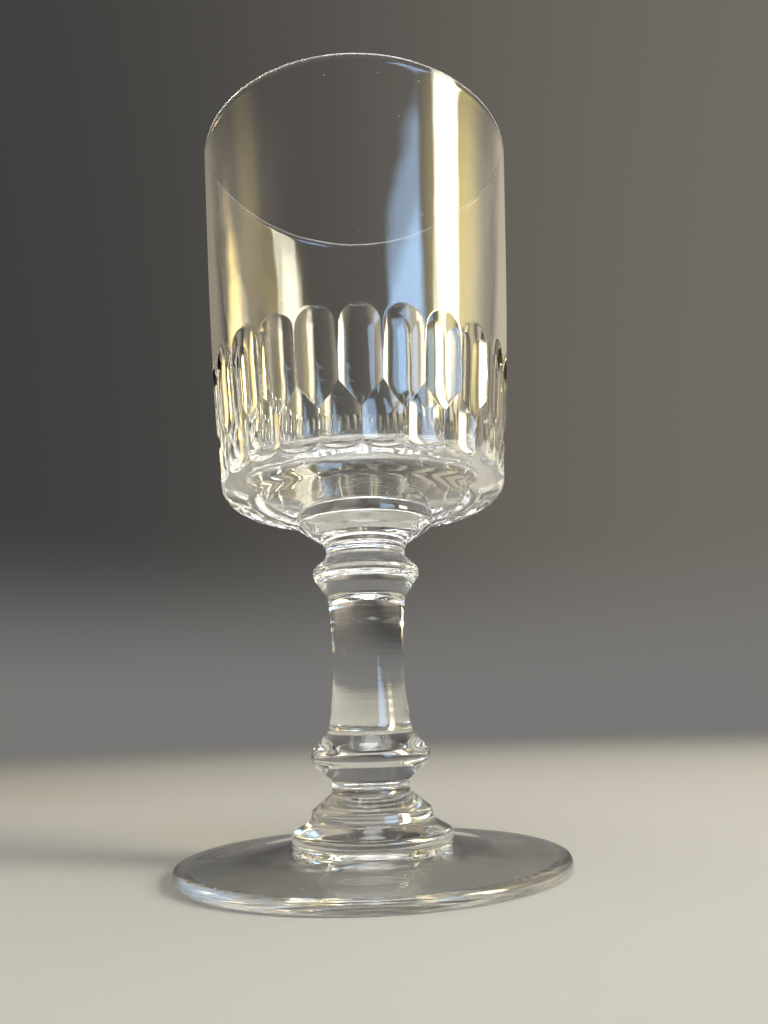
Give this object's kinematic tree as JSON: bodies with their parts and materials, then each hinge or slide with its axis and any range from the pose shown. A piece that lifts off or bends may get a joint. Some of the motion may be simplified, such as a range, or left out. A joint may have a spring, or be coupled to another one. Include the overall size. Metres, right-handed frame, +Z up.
{
  "type": "wine_glass",
  "caption": "Clear cut crystal goblet: tapered bowl with two interlocking rows of cut flutes, saucer collar, solid knopped stem, bell collar and low round foot.",
  "frame": {"origin": "centre of the circle that the foot rests on", "axes": "+Z up along the axis of the glass, from the foot to the rim; the glass is round, so X and Y are free, and a flute of the upper row is centred on -Y"},
  "size_m": [0.0774, 0.0774, 0.16],
  "materials": {
    "bowl_crystal": "clear, polished, wheel-cut",
    "stem_crystal": "clear, fire-polished",
    "foot_crystal": "clear, polished"
  },
  "bodies": {
    "root": {"bowl": "bowl_crystal", "bowl_collar": "stem_crystal", "stem": "stem_crystal", "foot_collar": "stem_crystal", "foot": "foot_crystal"}
  },
  "joints": []
}
